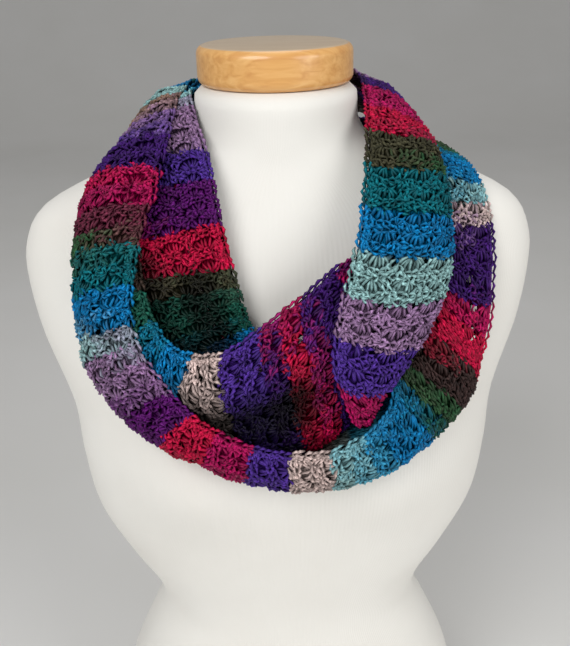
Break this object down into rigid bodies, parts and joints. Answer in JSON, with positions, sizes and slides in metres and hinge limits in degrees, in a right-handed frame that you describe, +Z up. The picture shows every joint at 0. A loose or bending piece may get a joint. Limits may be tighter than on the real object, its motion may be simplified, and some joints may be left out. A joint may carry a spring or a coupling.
{
  "type": "infinity scarf on a limbless dress form",
  "caption": "Striped crocheted infinity scarf wound in crossing loops round the neck of a white limbless dress form with a round wooden neck cap.",
  "frame": {"origin": "middle of the dress form's flat base, under the neck's axis", "axes": "+Z up along the neck, -Y to the front where the scarf's loops cross, +X to the right as seen from the front"},
  "size_m": [0.38, 0.2744, 0.6403],
  "materials": {
    "crochet": "soft plied wool yarn, crocheted in open shells, dyed in long bands of purple, magenta, brown, green, teal, blue and cream",
    "jersey": "matt white fine-ribbed jersey pulled smooth over the form",
    "cap_wood": "satin-varnished honey-coloured wood"
  },
  "bodies": {
    "root": {"dress_form": "jersey", "neck_cap": "cap_wood", "scarf_lower_left": "crochet", "scarf_lower_front": "crochet", "scarf_lower_right": "crochet", "scarf_lower_back": "crochet", "scarf_upper_right": "crochet", "scarf_upper_back": "crochet", "scarf_upper_left": "crochet", "scarf_upper_front": "crochet"}
  },
  "joints": []
}
